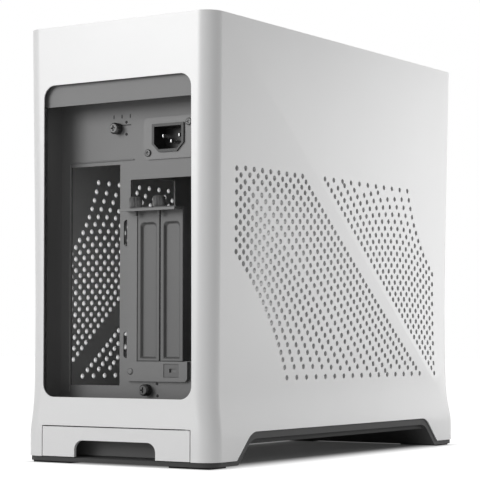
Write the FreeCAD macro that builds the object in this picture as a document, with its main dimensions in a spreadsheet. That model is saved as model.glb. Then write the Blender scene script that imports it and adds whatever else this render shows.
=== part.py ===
import FreeCAD, Part
import math
import os
import Sketcher

# Small upright computer case for a mini-ITX board.
# Millimetres, +Z up, origin on the table under the middle of the case, rear face towards +Y.

doc = FreeCAD.newDocument("mini_itx_case")
sheet = doc.addObject("Spreadsheet::Sheet", "sizes")


class Size:
    # A length with its expression, so that a feature that uses it stays bound to the sheet
    def __init__(self, text, value):
        self.text = text
        self.value = value

    def __add__(self, other):
        return combine(self, "+", other)

    def __radd__(self, other):
        return combine(other, "+", self)

    def __sub__(self, other):
        return combine(self, "-", other)

    def __rsub__(self, other):
        return combine(other, "-", self)

    def __mul__(self, other):
        return combine(self, "*", other)

    def __rmul__(self, other):
        return combine(other, "*", self)

    def __truediv__(self, other):
        return combine(self, "/", other)

    def __neg__(self):
        return combine(-1, "*", self)


def as_size(number):
    return number if isinstance(number, Size) else Size(repr(number), number)


def combine(left, sign, right):
    left = as_size(left)
    right = as_size(right)
    results = {
        "+": lambda: left.value + right.value,
        "-": lambda: left.value - right.value,
        "*": lambda: left.value * right.value,
        "/": lambda: left.value / right.value,
    }
    return Size(f"({left.text} {sign} {right.text})", results[sign]())


def size(alias, value, note):
    row = size.rows = getattr(size, "rows", 0) + 1
    sheet.set(f"A{row}", note)
    sheet.set(f"B{row}", str(value))
    sheet.setAlias(f"B{row}", alias)
    return Size(f"sizes.{alias}", value)


# Overall
case_width = size("case_width", 165, "across the side walls")
case_length = size("case_length", 366, "front wall to rear wall")
case_height = size("case_height", 314, "table to the top rim")
steel = size("steel", 1.2, "sheet of the inner frame")
fit_gap = size("fit_gap", 0.3, "gap between pieces that move past each other")

# Outer shell
shell_wall = size("shell_wall", 2.5, "aluminium wall of the shell")
shell_edge = size("shell_edge", 4.8, "lower edge of the shell above the table")
shell_corner = size("shell_corner", 13, "radius of the upright corners")
plinth_height = size("plinth_height", 22, "top of the plain band round the foot")
waist_low = size("waist_low", 48, "lower end of the waist")
waist_high = size("waist_high", 110, "upper end of the waist, from which the end walls lean out to the rim")
waist_front = size("waist_front", 10.2, "front wall at the waist inside its rim")
waist_rear = size("waist_rear", 5, "rear wall at the waist inside its rim")
facet_depth = size("facet_depth", 3.2, "how far a side leans in at one end of the waist")
crease_rear = size("crease_rear", 13.5, "near end wall to the crease of a side at the rim")
crease_front = size("crease_front", 33, "far end wall to the crease of a side at the lower waist")
arch_height = size("arch_height", 24, "shell edge over the side arch")
arch_foot_rear = size("arch_foot_rear", 31, "rear wall to the foot of the arch")
arch_foot_front = size("arch_foot_front", 35, "front wall to the foot of the arch")
arch_bend = size("arch_bend", 15, "radius at the top of the arch")
window_side = size("window_side", 17.5, "side wall to the rear window")
window_low = size("window_low", 47.2, "sill of the rear window")
window_drop = size("window_drop", 42.4, "rim to the head of the rear window")
window_corner = size("window_corner", 9.5, "corner radius of the rear window")

# Vent field of the side walls, as the side that leans in at its rear has it
vent_across = size("vent_across", 7, "vent hole across its corners")
vent_pitch = size("vent_pitch", 24, "hole to hole along a line")
vent_rear = size("vent_rear", 34, "rear wall to the first holes")
vent_front = size("vent_front", 36, "front wall to the last holes")
vent_drop = size("vent_drop", 105, "rim to the top row")
vent_floor = size("vent_floor", 60.7, "bottom row above the table")

# Base, drawer and front connections
base_floor = size("base_floor", 1.5, "underside of the base above the table")
base_inset = size("base_inset", 1, "base lip behind the face of the shell")
base_play = size("base_play", 2.4, "base inside the shell")
lip_run = size("lip_run", 3, "lip of the arch beside its foot")
lip_height = size("lip_height", 5, "lip over the arch")
deck = size("deck", 1.5, "ledge that carries the drawer")
seat_height = size("seat_height", 26.5, "top of the base, under the floor plate")
pad_width = size("pad_width", 34, "foot pad across the case")
pad_length = size("pad_length", 20, "foot pad along the case")
pad_inset = size("pad_inset", 4.5, "foot pad inside the base")
drawer_side = size("drawer_side", 18.2, "side wall to the drawer front")
drawer_high = size("drawer_high", 26.2, "top of the drawer front")
drawer_seam = size("drawer_seam", 0.5, "seam round the drawer front")
pull_half = size("pull_half", 35.5, "half the width of the finger cut-out")
pull_high = size("pull_high", 17, "top of the finger cut-out")
pull_corner = size("pull_corner", 7, "corner radius of the finger cut-out")
pull_depth = size("pull_depth", 14, "finger room behind the drawer front")
tray_inset = size("tray_inset", 2.3, "drawer tray behind the ends of the drawer front")
tray_length = size("tray_length", 300, "drawer tray along the case")
tray_height = size("tray_height", 4.5, "drawer tray frame")
tray_rim = size("tray_rim", 9, "frame round the drawer's filter")
filter_sheet = size("filter_sheet", 0.6, "filter mesh")
bezel_half = size("bezel_half", 42, "half the width of the front connection strip")
bezel_high = size("bezel_high", 20, "top of the front connection strip")
port_height = size("port_height", 12.6, "middle of the front connections above the table")
port_depth = size("port_depth", 12, "front connections behind their strip")
button_radius = size("button_radius", 5, "power button")
button_travel = size("button_travel", 1.2, "press of the power button")
button_set = size("button_set", -28, "middle of the power button")
button_collar = size("button_collar", 1.2, "collar that keeps the power button in")
collar_height = size("collar_height", 2, "collar that keeps the power button in")
usb_c_set = size("usb_c_set", -10, "middle of the small socket")
usb_c_width = size("usb_c_width", 9.2, "small socket")
usb_c_height = size("usb_c_height", 3.4, "small socket")
usb_a_set = size("usb_a_set", 4.2, "middle of the first large socket")
usb_a_pitch = size("usb_a_pitch", 16.8, "large socket to large socket")
usb_a_width = size("usb_a_width", 13.2, "large socket")
usb_a_height = size("usb_a_height", 5.8, "large socket")
socket_wall = size("socket_wall", 0.7, "sheet of the sockets")
audio_set = size("audio_set", 34.5, "middle of the audio socket")
audio_radius = size("audio_radius", 3.5, "audio socket")
audio_bore = size("audio_bore", 1.75, "radius of the audio socket's bore")

# Inner frame
frame_side = size("frame_side", 10.5, "side wall to the floor plate and top frame")
frame_end = size("frame_end", 11, "floor plate and top frame inside the rear rim")
front_end = size("front_end", 18, "floor plate, top frame and front plate inside the front rim")
rear_recess = size("rear_recess", 26, "rear plate inside the rear rim")
pan_side = size("pan_side", 12.5, "side wall to the rear pan and the front plate")
pan_set_back = size("pan_set_back", 9.8, "edge of the rear pan inside the rear rim")
front_flange = size("front_flange", 14, "side flanges of the front plate")
top_frame_drop = size("top_frame_drop", 13.8, "rim to the top of the top frame")
crossbar_lap = size("crossbar_lap", 15.3, "underside of the bar below the window head")
crossbar_height = size("crossbar_height", 15.7, "bar behind the window head")
crossbar_set_back = size("crossbar_set_back", 4.2, "bar inside the rear rim, against the shell")
crossbar_depth = size("crossbar_depth", 5, "flange of the bar")
fan_opening = size("fan_opening", 57, "radius of a fan opening")
fan_spacing = size("fan_spacing", 105, "fan screws, centre to centre")
fan_screw = size("fan_screw", 2.2, "radius of a fan screw hole")
fan_offset = size("fan_offset", 62, "fan centres before and behind the middle")
fan_ledge = size("fan_ledge", 6.6, "edge of the top opening inside the fan screws")
spine_left = size("spine_left", 5.8, "face of the spine towards the card side")
spine_step = size("spine_step", 180, "height of the spine's rear step")
spine_notch = size("spine_notch", 54, "depth of the spine's rear step")
spine_arm = size("spine_arm", 206, "underside of the spine's upper arm")
spine_top = size("spine_top", 250, "top of the spine")
access_set = size("access_set", 92, "rear plate to the cooler access window")
access_length = size("access_length", 70, "cooler access window along the case")
access_low = size("access_low", 95, "lower edge of the cooler access window")
access_tall = size("access_tall", 80, "cooler access window")
standoff_length = size("standoff_length", 6.35, "board standoffs")
standoff_radius = size("standoff_radius", 3, "board standoffs")
standoff_hole = size("standoff_hole", 1.6, "radius of the board screw holes")
board_deep = size("board_deep", 154.94, "board holes along the case")
board_tall = size("board_tall", 157.48, "board holes up the case")
board_set = size("board_set", 13, "rear plate to the first board holes")

# Rear plate openings
io_left = size("io_left", 15.1, "near edge of the connector opening")
io_width = size("io_width", 44.45, "connector opening")
io_low = size("io_low", 55.3, "lower edge of the connector opening")
io_height = size("io_height", 158.75, "connector opening")
card_left = size("card_left", 5.7, "edge of the card opening beside the spine")
card_right = size("card_right", -60, "far edge of the card opening")
card_low = size("card_low", 73, "lower edge of the card opening")
card_high = size("card_high", 202.6, "upper edge of the card opening")
cover_first = size("cover_first", -11.4, "middle of the first slot cover")
slot_pitch = size("slot_pitch", 20.32, "slot cover to slot cover")
cover_width = size("cover_width", 18.4, "slot cover")
cover_sheet = size("cover_sheet", 0.9, "slot cover")
cover_field = size("cover_field", 12, "raised field of a slot cover")
shelf_top = size("shelf_top", 180.8, "shelf that the slot covers hang on")
shelf_depth = size("shelf_depth", 12, "shelf behind the rear plate")
shelf_lip = size("shelf_lip", 1.8, "lip of the shelf")
sill_low = size("sill_low", 58.6, "lower edge of the raised sill under the slot covers")
sill_rise = size("sill_rise", 3, "raised sill behind the rear plate")
sill_right = size("sill_right", -46, "far end of the raised sill")
clip_left = size("clip_left", -25.8, "near edge of the clip pocket")
clip_width = size("clip_width", 12.9, "clip pocket")
clip_low = size("clip_low", 61.6, "lower edge of the clip pocket")
clip_height = size("clip_height", 9.5, "clip pocket")
clip_near = size("clip_near", 4.5, "clip beside its hole, towards the middle")
clip_far = size("clip_far", 2, "clip beside its hole, away from the middle")
clip_hole = size("clip_hole", 2.8, "height of the clip's hole")
inlet_middle = size("inlet_middle", -28.4, "middle of the power inlet")
inlet_height = size("inlet_height", 231, "middle of the power inlet above the table")
inlet_width = size("inlet_width", 27.6, "power inlet")
inlet_tall = size("inlet_tall", 20.3, "power inlet")
inlet_bevel = size("inlet_bevel", 6, "bevelled lower corners of the power inlet")
inlet_wall = size("inlet_wall", 2, "wall of the power inlet")
inlet_depth = size("inlet_depth", 17, "power inlet behind its plate")
inlet_margin = size("inlet_margin", 8, "inlet plate beside the inlet")
inlet_margin_high = size("inlet_margin_high", 4.8, "inlet plate over and under the inlet")
inlet_screw = size("inlet_screw", 2.7, "head of the inlet's screws")
pin_width = size("pin_width", 2, "inlet pin")
pin_height = size("pin_height", 4, "inlet pin")
pin_spread = size("pin_spread", 7, "outer pins from the middle one")
pin_rise = size("pin_rise", 1.8, "outer pins above the inlet's middle")
pin_drop = size("pin_drop", 2.2, "middle pin below the inlet's middle")
screw_radius = size("screw_radius", 1.5, "shank of the thumbscrews")
knob_radius = size("knob_radius", 4.2, "head of the spine thumbscrews")
knob_height = size("knob_height", 6, "head of the spine thumbscrews")
upper_screw = size("upper_screw", 17, "upper spine thumbscrew from the middle")
upper_screw_drop = size("upper_screw_drop", 16.3, "upper spine thumbscrew below the bar")
lower_screw = size("lower_screw", -10, "lower spine thumbscrew from the middle")
lower_screw_height = size("lower_screw_height", 52.5, "lower spine thumbscrew above the table")
shank_reach = size("shank_reach", 4.8, "shank of a thumbscrew inside its sheet")
slot_knob_radius = size("slot_knob_radius", 4.7, "head of the slot thumbscrews")
slot_knob_height = size("slot_knob_height", 7.5, "head of the slot thumbscrews")
side_slot_margin = size("side_slot_margin", 2, "upright slot above the card opening's lower edge")
side_slot_pitch = size("side_slot_pitch", 80, "upright slot to upright slot")
side_slot_length = size("side_slot_length", 19, "upright slots beside the card opening")
side_slot_radius = size("side_slot_radius", 2.5, "upright slots beside the card opening")

# Top cover and power supply
cover_play = size("cover_play", 0.6, "top panel inside the shell")
cover_drop = size("cover_drop", 0.5, "top panel below the rim")
top_sheet = size("top_sheet", 2.5, "top panel")
skirt_inset = size("skirt_inset", 0.5, "skirt of the top panel inside the top frame")
slot_length = size("slot_length", 58, "slots of the top panel")
slot_width = size("slot_width", 6, "slots of the top panel")
slot_row = size("slot_row", 15, "slot to slot on the top panel")
supply_low = size("supply_low", 150, "lower edge of the power supply bracket")
supply_width = size("supply_width", 66, "power supply bracket")
supply_tall = size("supply_tall", 130, "power supply bracket")
supply_rim = size("supply_rim", 7, "power supply bracket beside its opening")
supply_wide_holes = size("supply_wide_holes", 51.5, "power supply screws across the case")
supply_tall_holes = size("supply_tall_holes", 113, "power supply screws up the case")
supply_screw = size("supply_screw", 1.8, "radius of a power supply screw hole")
supply_back = size("supply_back", 40, "front plate to the power supply bracket")
doc.recompute()

half_width = case_width / 2
half_length = case_length / 2
window_half = half_width - window_side
window_high = case_height - window_drop
crossbar_low = window_high - crossbar_lap
upper_screw_height = crossbar_low - upper_screw_drop
drawer_half = half_width - drawer_side
tray_half = drawer_half - tray_inset
frame_half = half_width - frame_side
pan_half = half_width - pan_side
rear_face = half_length - rear_recess
rear_inside = rear_face - steel
floor_top = seat_height + steel
top_frame_top = case_height - top_frame_drop
top_frame_low = top_frame_top - steel
frame_reach = half_length - frame_end
frame_front = front_end - half_length
front_inside = frame_front + steel
deck_top = arch_height - lip_height + deck
tray_low = deck_top + fit_gap
drawer_inside = half_length - shell_wall
spine_right = spine_left + steel


def bind(thing, name, length):
    thing.setExpression(name, as_size(length).text)


views = {"top": ("XY_Plane", 1), "rear": ("XZ_Plane", -1), "side": ("YZ_Plane", 1)}


def body_sketch(body, view, level):
    # A sketch on one of a body's own planes: top (x, y), rear (x, z) or side (y, z)
    role, way = views[view]
    sketch = body.newObject("Sketcher::SketchObject", body.Name + "_sketch")
    plane = next(plane for plane in body.Origin.OriginFeatures if plane.Role == role)
    sketch.AttachmentSupport = [(plane, "")]
    sketch.MapMode = "FlatFace"
    bind(sketch, "AttachmentOffset.Base.z", way * as_size(level))
    return sketch


def level_sketch(name, level):
    # A horizontal section that belongs to no body
    sketch = doc.addObject("Sketcher::SketchObject", name)
    bind(sketch, "Placement.Base.z", level)
    return sketch


class Drawing:
    # Puts outlines whose every size is bound to the sheet on a sketch
    def __init__(self, sketch):
        self.sketch = sketch

    def fix(self, kind, ends, length):
        length = as_size(length)
        row = self.sketch.addConstraint(Sketcher.Constraint(kind, *ends, length.value))
        bind(self.sketch, f"Constraints[{row}]", length)

    def place(self, edge, point, across, up):
        self.fix("DistanceX", (-1, 1, edge, point), across)
        self.fix("DistanceY", (-1, 1, edge, point), up)

    def circle(self, across, up, radius):
        middle = FreeCAD.Vector(as_size(across).value, as_size(up).value, 0)
        ring = Part.Circle(middle, FreeCAD.Vector(0, 0, 1), as_size(radius).value)
        edge = self.sketch.addGeometry(ring)
        self.place(edge, 3, across, up)
        self.fix("Radius", (edge,), radius)

    def outline(self, corners):
        # A closed outline through corners (across, up) or (across, up, radius), anticlockwise
        spots = [(as_size(corner[0]), as_size(corner[1])) for corner in corners]
        stops = []
        for index, corner in enumerate(corners):
            stops.append(self.corner_stops(spots, index, corner))
        ends = []
        for index, stop in enumerate(stops):
            after = stops[(index + 1) % len(stops)]
            ends.append(self.line(stop["leave"], after["reach"]))
        for index, stop in enumerate(stops):
            self.join(ends[index - 1], ends[index], stop)

    def corner_stops(self, spots, index, corner):
        here = spots[index]
        if len(corner) == 2:
            return {"reach": here, "leave": here, "radius": None}
        coming = direction(spots[index - 1], here)
        going = direction(here, spots[(index + 1) % len(spots)])
        turn = coming[0] * going[1] - coming[1] * going[0]
        along = coming[0] * going[0] + coming[1] * going[1]
        run = as_size(corner[2]) * math.tan(math.acos(along) / 2)
        reach = (here[0] - run * coming[0], here[1] - run * coming[1])
        leave = (here[0] + run * going[0], here[1] + run * going[1])
        side = math.copysign(1, turn)
        middle = (reach[0] - corner[2] * coming[1] * side, reach[1] + corner[2] * coming[0] * side)
        return {"reach": reach, "leave": leave, "radius": corner[2], "middle": middle, "side": side}

    def line(self, start, end):
        edge = self.sketch.addGeometry(Part.LineSegment(vector(start), vector(end)))
        self.place(edge, 1, *start)
        self.place(edge, 2, *end)
        return edge

    def join(self, before, after, stop):
        if stop["radius"] is None:
            return
        first, last = stop["reach"], stop["leave"]
        if stop["side"] < 0:
            first, last = last, first
        middle = vector(stop["middle"])
        from_middle = [vector(end) - middle for end in (first, last)]
        angles = [math.atan2(arm.y, arm.x) for arm in from_middle]
        ring = Part.Circle(middle, FreeCAD.Vector(0, 0, 1), as_size(stop["radius"]).value)
        edge = self.sketch.addGeometry(Part.ArcOfCircle(ring, *angles))
        near, far = (1, 2) if stop["side"] > 0 else (2, 1)
        self.sketch.addConstraint(Sketcher.Constraint("Coincident", before, 2, edge, near))
        self.sketch.addConstraint(Sketcher.Constraint("Coincident", after, 1, edge, far))
        self.fix("Radius", (edge,), stop["radius"])

    def draw(self, loops):
        for loop in loops:
            if isinstance(loop, tuple):
                self.circle(*loop)
            else:
                self.outline(loop)
        return self.sketch


def vector(spot):
    return FreeCAD.Vector(spot[0].value, spot[1].value, 0)


def direction(start, end):
    way = vector(end) - vector(start)
    way.normalize()
    return way.x, way.y


def box_loop(left, right, low, high, radius=None):
    corners = [(left, low), (right, low), (right, high), (left, high)]
    if radius is None:
        return corners
    return [(across, up, radius) for across, up in corners]


def ring_loop(across, up, radius, flats):
    # A regular outline with flat sides
    corners = []
    for turn in range(flats):
        angle = 2 * math.pi * (turn + 0.5) / flats
        corners.append((across + radius * math.cos(angle), up + radius * math.sin(angle)))
    return corners


def obround(middle, low, high, radius):
    # The ends stop just short of half circles, so that every side keeps a length
    return box_loop(middle - radius, middle + radius, low, high, radius * 0.98)


def new_body(name):
    body = doc.addObject("PartDesign::Body", name)
    body.Label = name
    return body


def pad(body, view, low, high, *loops):
    # Material between two levels along the view's axis
    way = views[view][1]
    feature_sketch = Drawing(body_sketch(body, view, low if way > 0 else high)).draw(loops)
    feature = body.newObject("PartDesign::Pad", body.Name + "_pad")
    feature.Profile = feature_sketch
    bind(feature, "Length", as_size(high) - low)
    doc.recompute()
    return body


def pocket(body, view, low, high, *loops):
    # A cut between two levels along the view's axis
    way = views[view][1]
    before = body.Shape.Volume
    feature_sketch = Drawing(body_sketch(body, view, high if way > 0 else low)).draw(loops)
    feature = body.newObject("PartDesign::Pocket", body.Name + "_pocket")
    feature.Profile = feature_sketch
    bind(feature, "Length", as_size(high) - low)
    doc.recompute()
    if body.Shape.Volume >= before:
        raise RuntimeError(f"a pocket of {body.Name} removes nothing")
    return body


def plate(name, view, low, high, *loops):
    return pad(new_body(name), view, low, high, *loops)


def group(name, pieces):
    # Separate solids of one kind that share a node
    compound = doc.addObject("Part::Compound", name)
    compound.Label = name
    compound.Links = pieces
    doc.recompute()
    return compound


def cut(name, base, tools):
    joined = doc.addObject("Part::Compound", name + "_tools")
    joined.Links = tools
    result = doc.addObject("Part::Cut", name)
    result.Label = name
    result.Base = base
    result.Tool = joined
    doc.recompute()
    return result


# Outer shell

def crease_back(level):
    # End of the rim to the crease of a side, which runs straight from the rim to the lower waist
    run = case_length - crease_front - crease_rear
    return crease_rear + run * (case_height - level) / (case_height - waist_low)


def shell_section(inset, crease, lean_share, front_in, rear_in):
    # One side leans in from its crease towards the rear, the other, turned half round, towards the front
    across = half_width - inset
    front = front_in + inset - half_length
    rear = half_length - rear_in - inset
    front_lean = lean_share * (crease - front_in - inset)
    rear_lean = lean_share * (crease - rear_in - inset)
    corner = shell_corner - inset
    bend = half_length - crease
    return [
        (-across, front, corner),
        (across - front_lean, front, corner),
        (across, -bend),
        (across, rear, corner),
        (rear_lean - across, rear, corner),
        (-across, bend),
    ]


# Sections from the waist to the rim, close enough for each crease to meet itself
shell_steps = 3


def shell_form(name, inset):
    # Upright block whose end walls lean in to a waist and flare out again to the foot
    low_crease = crease_back(waist_low)
    lean_share = facet_depth / (low_crease - waist_rear)
    levels = [
        (as_size(0), low_crease, 0, 0, 0),
        (plinth_height, low_crease, 0, 0, 0),
        (waist_low, low_crease, lean_share, waist_front, waist_rear),
    ]
    for step in range(shell_steps + 1):
        share = 1 - step / shell_steps
        level = case_height - share * (case_height - waist_high)
        levels.append((level, crease_back(level), lean_share, share * waist_front, share * waist_rear))
    sections = []
    for row, (level, *shape) in enumerate(levels):
        sketch = level_sketch(f"{name}_section_{row}", level)
        sections.append(Drawing(sketch).draw([shell_section(inset, *shape)]))
    loft = doc.addObject("Part::Loft", name)
    loft.Sections = sections
    loft.Solid = True
    loft.Ruled = True
    loft.Linearize = True
    doc.recompute()
    return loft


def arch_loop(foot_level, foot_shift, over_level, beyond):
    # From the arch line of a side, with slopes of 45 degrees at its ends, to a level beyond it
    end = half_length + shell_wall
    rear_foot = half_length - arch_foot_rear - foot_shift
    front_foot = arch_foot_front + foot_shift - half_length
    rise = over_level - foot_level
    return [
        (-end, beyond),
        (end, beyond),
        (end, foot_level),
        (rear_foot, foot_level),
        (rear_foot - rise, over_level, arch_bend),
        (front_foot + rise, over_level, arch_bend),
        (front_foot, foot_level),
        (-end, foot_level),
    ]


vent_lines_low = 16
vent_lines_high = 11
vent_step = 2
vent_turn = 0.727
vent_rise = 0.8356
vent_column_share = 0.4
vent_row_share = 0.295
vent_foot_shares = (0.216, 0.683)
vent_end_share = 0.55
vent_head_shares = (0.403, 0.448)


def vent_run(anchor, far):
    # Hole centres along a curve that leaves its anchor along the side's crease and turns to its far end
    reach = vent_turn * (far[0] - anchor[0])
    bend = (anchor[0] + reach, anchor[1] + reach * vent_rise)
    curve = Part.BezierCurve()
    curve.setPoles([FreeCAD.Vector(*spot, 0) for spot in (anchor, bend, far)])
    count = max(2, int(curve.length() / vent_pitch.value) + 1)
    return [(spot.x, spot.y) for spot in curve.toShape().discretize(Number=count)]


def vent_centres():
    # Back from the rear wall and down from the rim
    top = vent_drop.value
    bottom = case_height.value - vent_floor.value
    last = case_length.value - vent_front.value
    tall = bottom - top
    broad = last - vent_rear.value
    column = vent_lines_low // 2
    centres = []
    for line in range(0, vent_lines_low, vent_step):
        if line < column:
            anchor = (vent_rear.value, top + vent_column_share * tall * (1 - line / column))
        else:
            share = (line - column + 1) / column
            anchor = (vent_rear.value + vent_row_share * broad * share, top)
        share = line / (vent_lines_low - 1)
        far = (vent_rear.value + broad * (vent_foot_shares[0] + vent_foot_shares[1] * share), bottom)
        centres += vent_run(anchor, far)
    for line in range(0, vent_lines_high, vent_step):
        share = line / (vent_lines_high - 1)
        anchor = (last, bottom - vent_end_share * tall * share)
        far = (vent_rear.value + broad * (vent_head_shares[0] + vent_head_shares[1] * share), top)
        centres += vent_run(anchor, far)
    return centres


def vent_cutters():
    # One hexagonal bar for each hole of one side, and the same turned half round for the other side
    radius = vent_across.value / 2
    start = -half_width.value - shell_wall.value
    bars = []
    for back, down in vent_centres():
        middle = FreeCAD.Vector(start, half_length.value - back, case_height.value - down)
        corners = []
        for turn in range(6):
            angle = math.radians(60 * turn + 30)
            corners.append(middle + FreeCAD.Vector(0, radius * math.cos(angle), radius * math.sin(angle)))
        face = Part.Face(Part.makePolygon(corners + corners[:1]))
        bar = face.extrude(FreeCAD.Vector(-start, 0, 0))
        bars += [bar, bar.rotated(FreeCAD.Vector(), FreeCAD.Vector(0, 0, 1), 180)]
    holder = doc.addObject("Part::Feature", "vent_cutters")
    holder.Shape = Part.makeCompound(bars)
    return holder


def make_outer_shell():
    outside = shell_form("shell_outside", as_size(0))
    inside = shell_form("shell_inside", shell_wall)
    through = half_length + shell_wall
    window = box_loop(-window_half, window_half, window_low, window_high, window_corner)
    notch_half = drawer_half + drawer_seam
    notch = box_loop(-notch_half, notch_half, -shell_edge, drawer_high + drawer_seam)
    strip_half = bezel_half + drawer_seam
    strip = box_loop(-strip_half, strip_half, -shell_edge, bezel_high + drawer_seam)
    edge = arch_loop(shell_edge, 0, arch_height, -case_height)
    tools = [
        inside,
        plate("window_cut", "rear", rear_face, through, window),
        plate("drawer_cut", "rear", rear_face, through, notch),
        plate("strip_cut", "rear", -through, frame_front, strip),
        plate("edge_cut", "side", -half_width - shell_wall, half_width + shell_wall, edge),
        vent_cutters(),
    ]
    return cut("outer_shell", outside, tools)


# Base and feet

def make_base_frame():
    across = half_width - base_inset
    along = half_length - base_inset
    body = new_body("base_frame")
    over = arch_height - fit_gap
    pad(body, "top", base_floor, over, box_loop(-across, across, -along, along, shell_corner - base_inset))
    above = arch_loop(shell_edge - fit_gap, 0, over, case_height)
    pocket(body, "side", -half_width, half_width, above)
    inset = shell_wall + base_play
    across = half_width - inset
    along = half_length - inset
    pad(body, "top", base_floor, seat_height, box_loop(-across, across, -along, along, shell_corner - inset))
    under = arch_loop(base_floor, lip_run, arch_height - lip_height, -case_height)
    pocket(body, "side", -half_width, half_width, under)
    bay = tray_half + drawer_seam
    front_stop = drawer_inside - tray_length - drawer_seam
    pocket(body, "top", deck_top, seat_height, box_loop(-bay, bay, front_stop, half_length))
    intake = tray_half - tray_rim
    intake_loop = box_loop(-intake, intake, front_stop + tray_rim, fan_offset * 2)
    pocket(body, "top", base_floor, deck_top, intake_loop)
    room = drawer_half - tray_rim
    pocket(body, "top", shell_edge, deck_top, box_loop(-room, room, drawer_inside - pull_depth, half_length))
    nook = bezel_half - shell_wall
    sill = base_floor + shell_wall
    pocket(body, "top", sill, seat_height, box_loop(-nook, nook, -half_length, front_wall_back()))
    return body


def front_wall_back():
    return port_depth + steel * 2 - half_length + shell_wall


def make_foot_pads():
    pads = []
    outer = half_width - base_inset - pad_inset
    end = half_length - base_inset - pad_inset
    for row, (left, near) in enumerate([(-1, -1), (1, -1), (1, 1), (-1, 1)]):
        across = sorted([left * outer, left * (outer - pad_width)], key=lambda length: length.value)
        along = sorted([near * end, near * (end - pad_length)], key=lambda length: length.value)
        loop = box_loop(*across, *along)
        pads.append(plate(f"foot_pad_{row}", "top", 0, base_floor, loop))
    return group("foot_pads", pads)


# Filter drawer

def make_drawer():
    foot = shell_edge + fit_gap
    loop = [
        (-drawer_half, foot),
        (-pull_half, foot),
        (-pull_half, pull_high, pull_corner),
        (pull_half, pull_high, pull_corner),
        (pull_half, foot),
        (drawer_half, foot),
        (drawer_half, drawer_high),
        (-drawer_half, drawer_high),
    ]
    front = plate("drawer_front", "rear", drawer_inside, half_length, loop)
    tray_front = drawer_inside - tray_length
    tray_top = tray_low + tray_height
    tray = plate("drawer_tray", "top", tray_low, tray_top,
                 box_loop(-tray_half, tray_half, tray_front, drawer_inside))
    hole = tray_half - tray_rim
    bay = (tray_length - 3 * tray_rim) / 2
    for start in (tray_front + tray_rim, tray_front + 2 * tray_rim + bay):
        pocket(tray, "top", tray_low, tray_top, box_loop(-hole, hole, start, start + bay))
    mesh_half = tray_half - tray_rim / 2
    mesh_ends = (tray_front + tray_rim / 2, drawer_inside - tray_rim / 2)
    mesh = plate("drawer_filter", "top", tray_top, tray_top + filter_sheet,
                 box_loop(-mesh_half, mesh_half, *mesh_ends))
    return [front, tray, mesh]


# Front connections

def make_front_connections():
    face = -half_length
    back = face + shell_wall
    board_face = back + port_depth
    bore_end = board_face - steel
    sockets = [
        ("usb_c_port", usb_c_set, usb_c_width / 2, usb_c_height / 2),
        ("usb_a_port_1", usb_a_set, usb_a_width / 2, usb_a_height / 2),
        ("usb_a_port_2", usb_a_set + usb_a_pitch, usb_a_width / 2, usb_a_height / 2),
    ]
    holes = [(button_set, port_height, button_radius + fit_gap), (audio_set, port_height, audio_radius)]
    shells = []
    for name, spot, wide, tall in sockets:
        outer = box_loop(spot - wide, spot + wide, port_height - tall, port_height + tall)
        inner = box_loop(spot - wide + socket_wall, spot + wide - socket_wall,
                         port_height - tall + socket_wall, port_height + tall - socket_wall)
        shell = plate(name, "rear", face, board_face, outer)
        shells.append(pocket(shell, "rear", face, bore_end, inner))
        holes.append(outer)
    audio = plate("audio_jack", "rear", face, board_face, (audio_set, port_height, audio_radius))
    pocket(audio, "rear", face, bore_end, (audio_set, port_height, audio_bore))
    strip = box_loop(-bezel_half, bezel_half, shell_edge + fit_gap, bezel_high)
    bezel = plate("io_bezel", "rear", face, back, strip, *holes)
    board_half = bezel_half - shell_wall - fit_gap
    board = plate("io_board", "rear", board_face, board_face + steel,
                  box_loop(-board_half, board_half, base_floor + shell_wall, bezel_high))
    collar_face = back + fit_gap
    collar_back = collar_face + collar_height
    button = plate("power_button", "rear", face, collar_back, (button_set, port_height, button_radius))
    pad(button, "rear", collar_face, collar_back, (button_set, port_height, button_radius + button_collar))
    stem_end = board_face - button_travel - fit_gap
    pad(button, "rear", collar_face, stem_end, (button_set, port_height, button_radius / 2))
    return [bezel, board, shells[0], group("usb_a_ports", shells[1:]), audio, button]


# Inner frame

def fan_screw_loops():
    loops = []
    for end in (-1, 1):
        for side in (-1, 1):
            for row in (-1, 1):
                along = end * fan_offset + row * fan_spacing / 2
                loops.append((side * fan_spacing / 2, along, fan_screw))
    return loops


def make_floor_plate():
    sheet_loop = box_loop(-frame_half, frame_half, frame_front, frame_reach)
    openings = [(0, end * fan_offset, fan_opening) for end in (-1, 1)]
    return plate("floor_plate", "top", seat_height, floor_top, sheet_loop, *openings, *fan_screw_loops())


def make_top_frame():
    # One long opening, so that fans or a cooler can sit anywhere along it
    sheet_loop = box_loop(-frame_half, frame_half, frame_front, frame_reach)
    across = fan_spacing / 2 - fan_ledge
    along = fan_offset + fan_opening
    opening = box_loop(-across, across, -along, along)
    return plate("top_frame", "top", top_frame_low, top_frame_top, sheet_loop, opening, *fan_screw_loops())


def u_loop(web_out, web_in, ends):
    # A folded sheet seen from above: a web with a flange at each side
    inner = pan_half - steel
    return [
        (-pan_half, ends),
        (-pan_half, web_out),
        (pan_half, web_out),
        (pan_half, ends),
        (inner, ends),
        (inner, web_in),
        (-inner, web_in),
        (-inner, ends),
    ]


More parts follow.
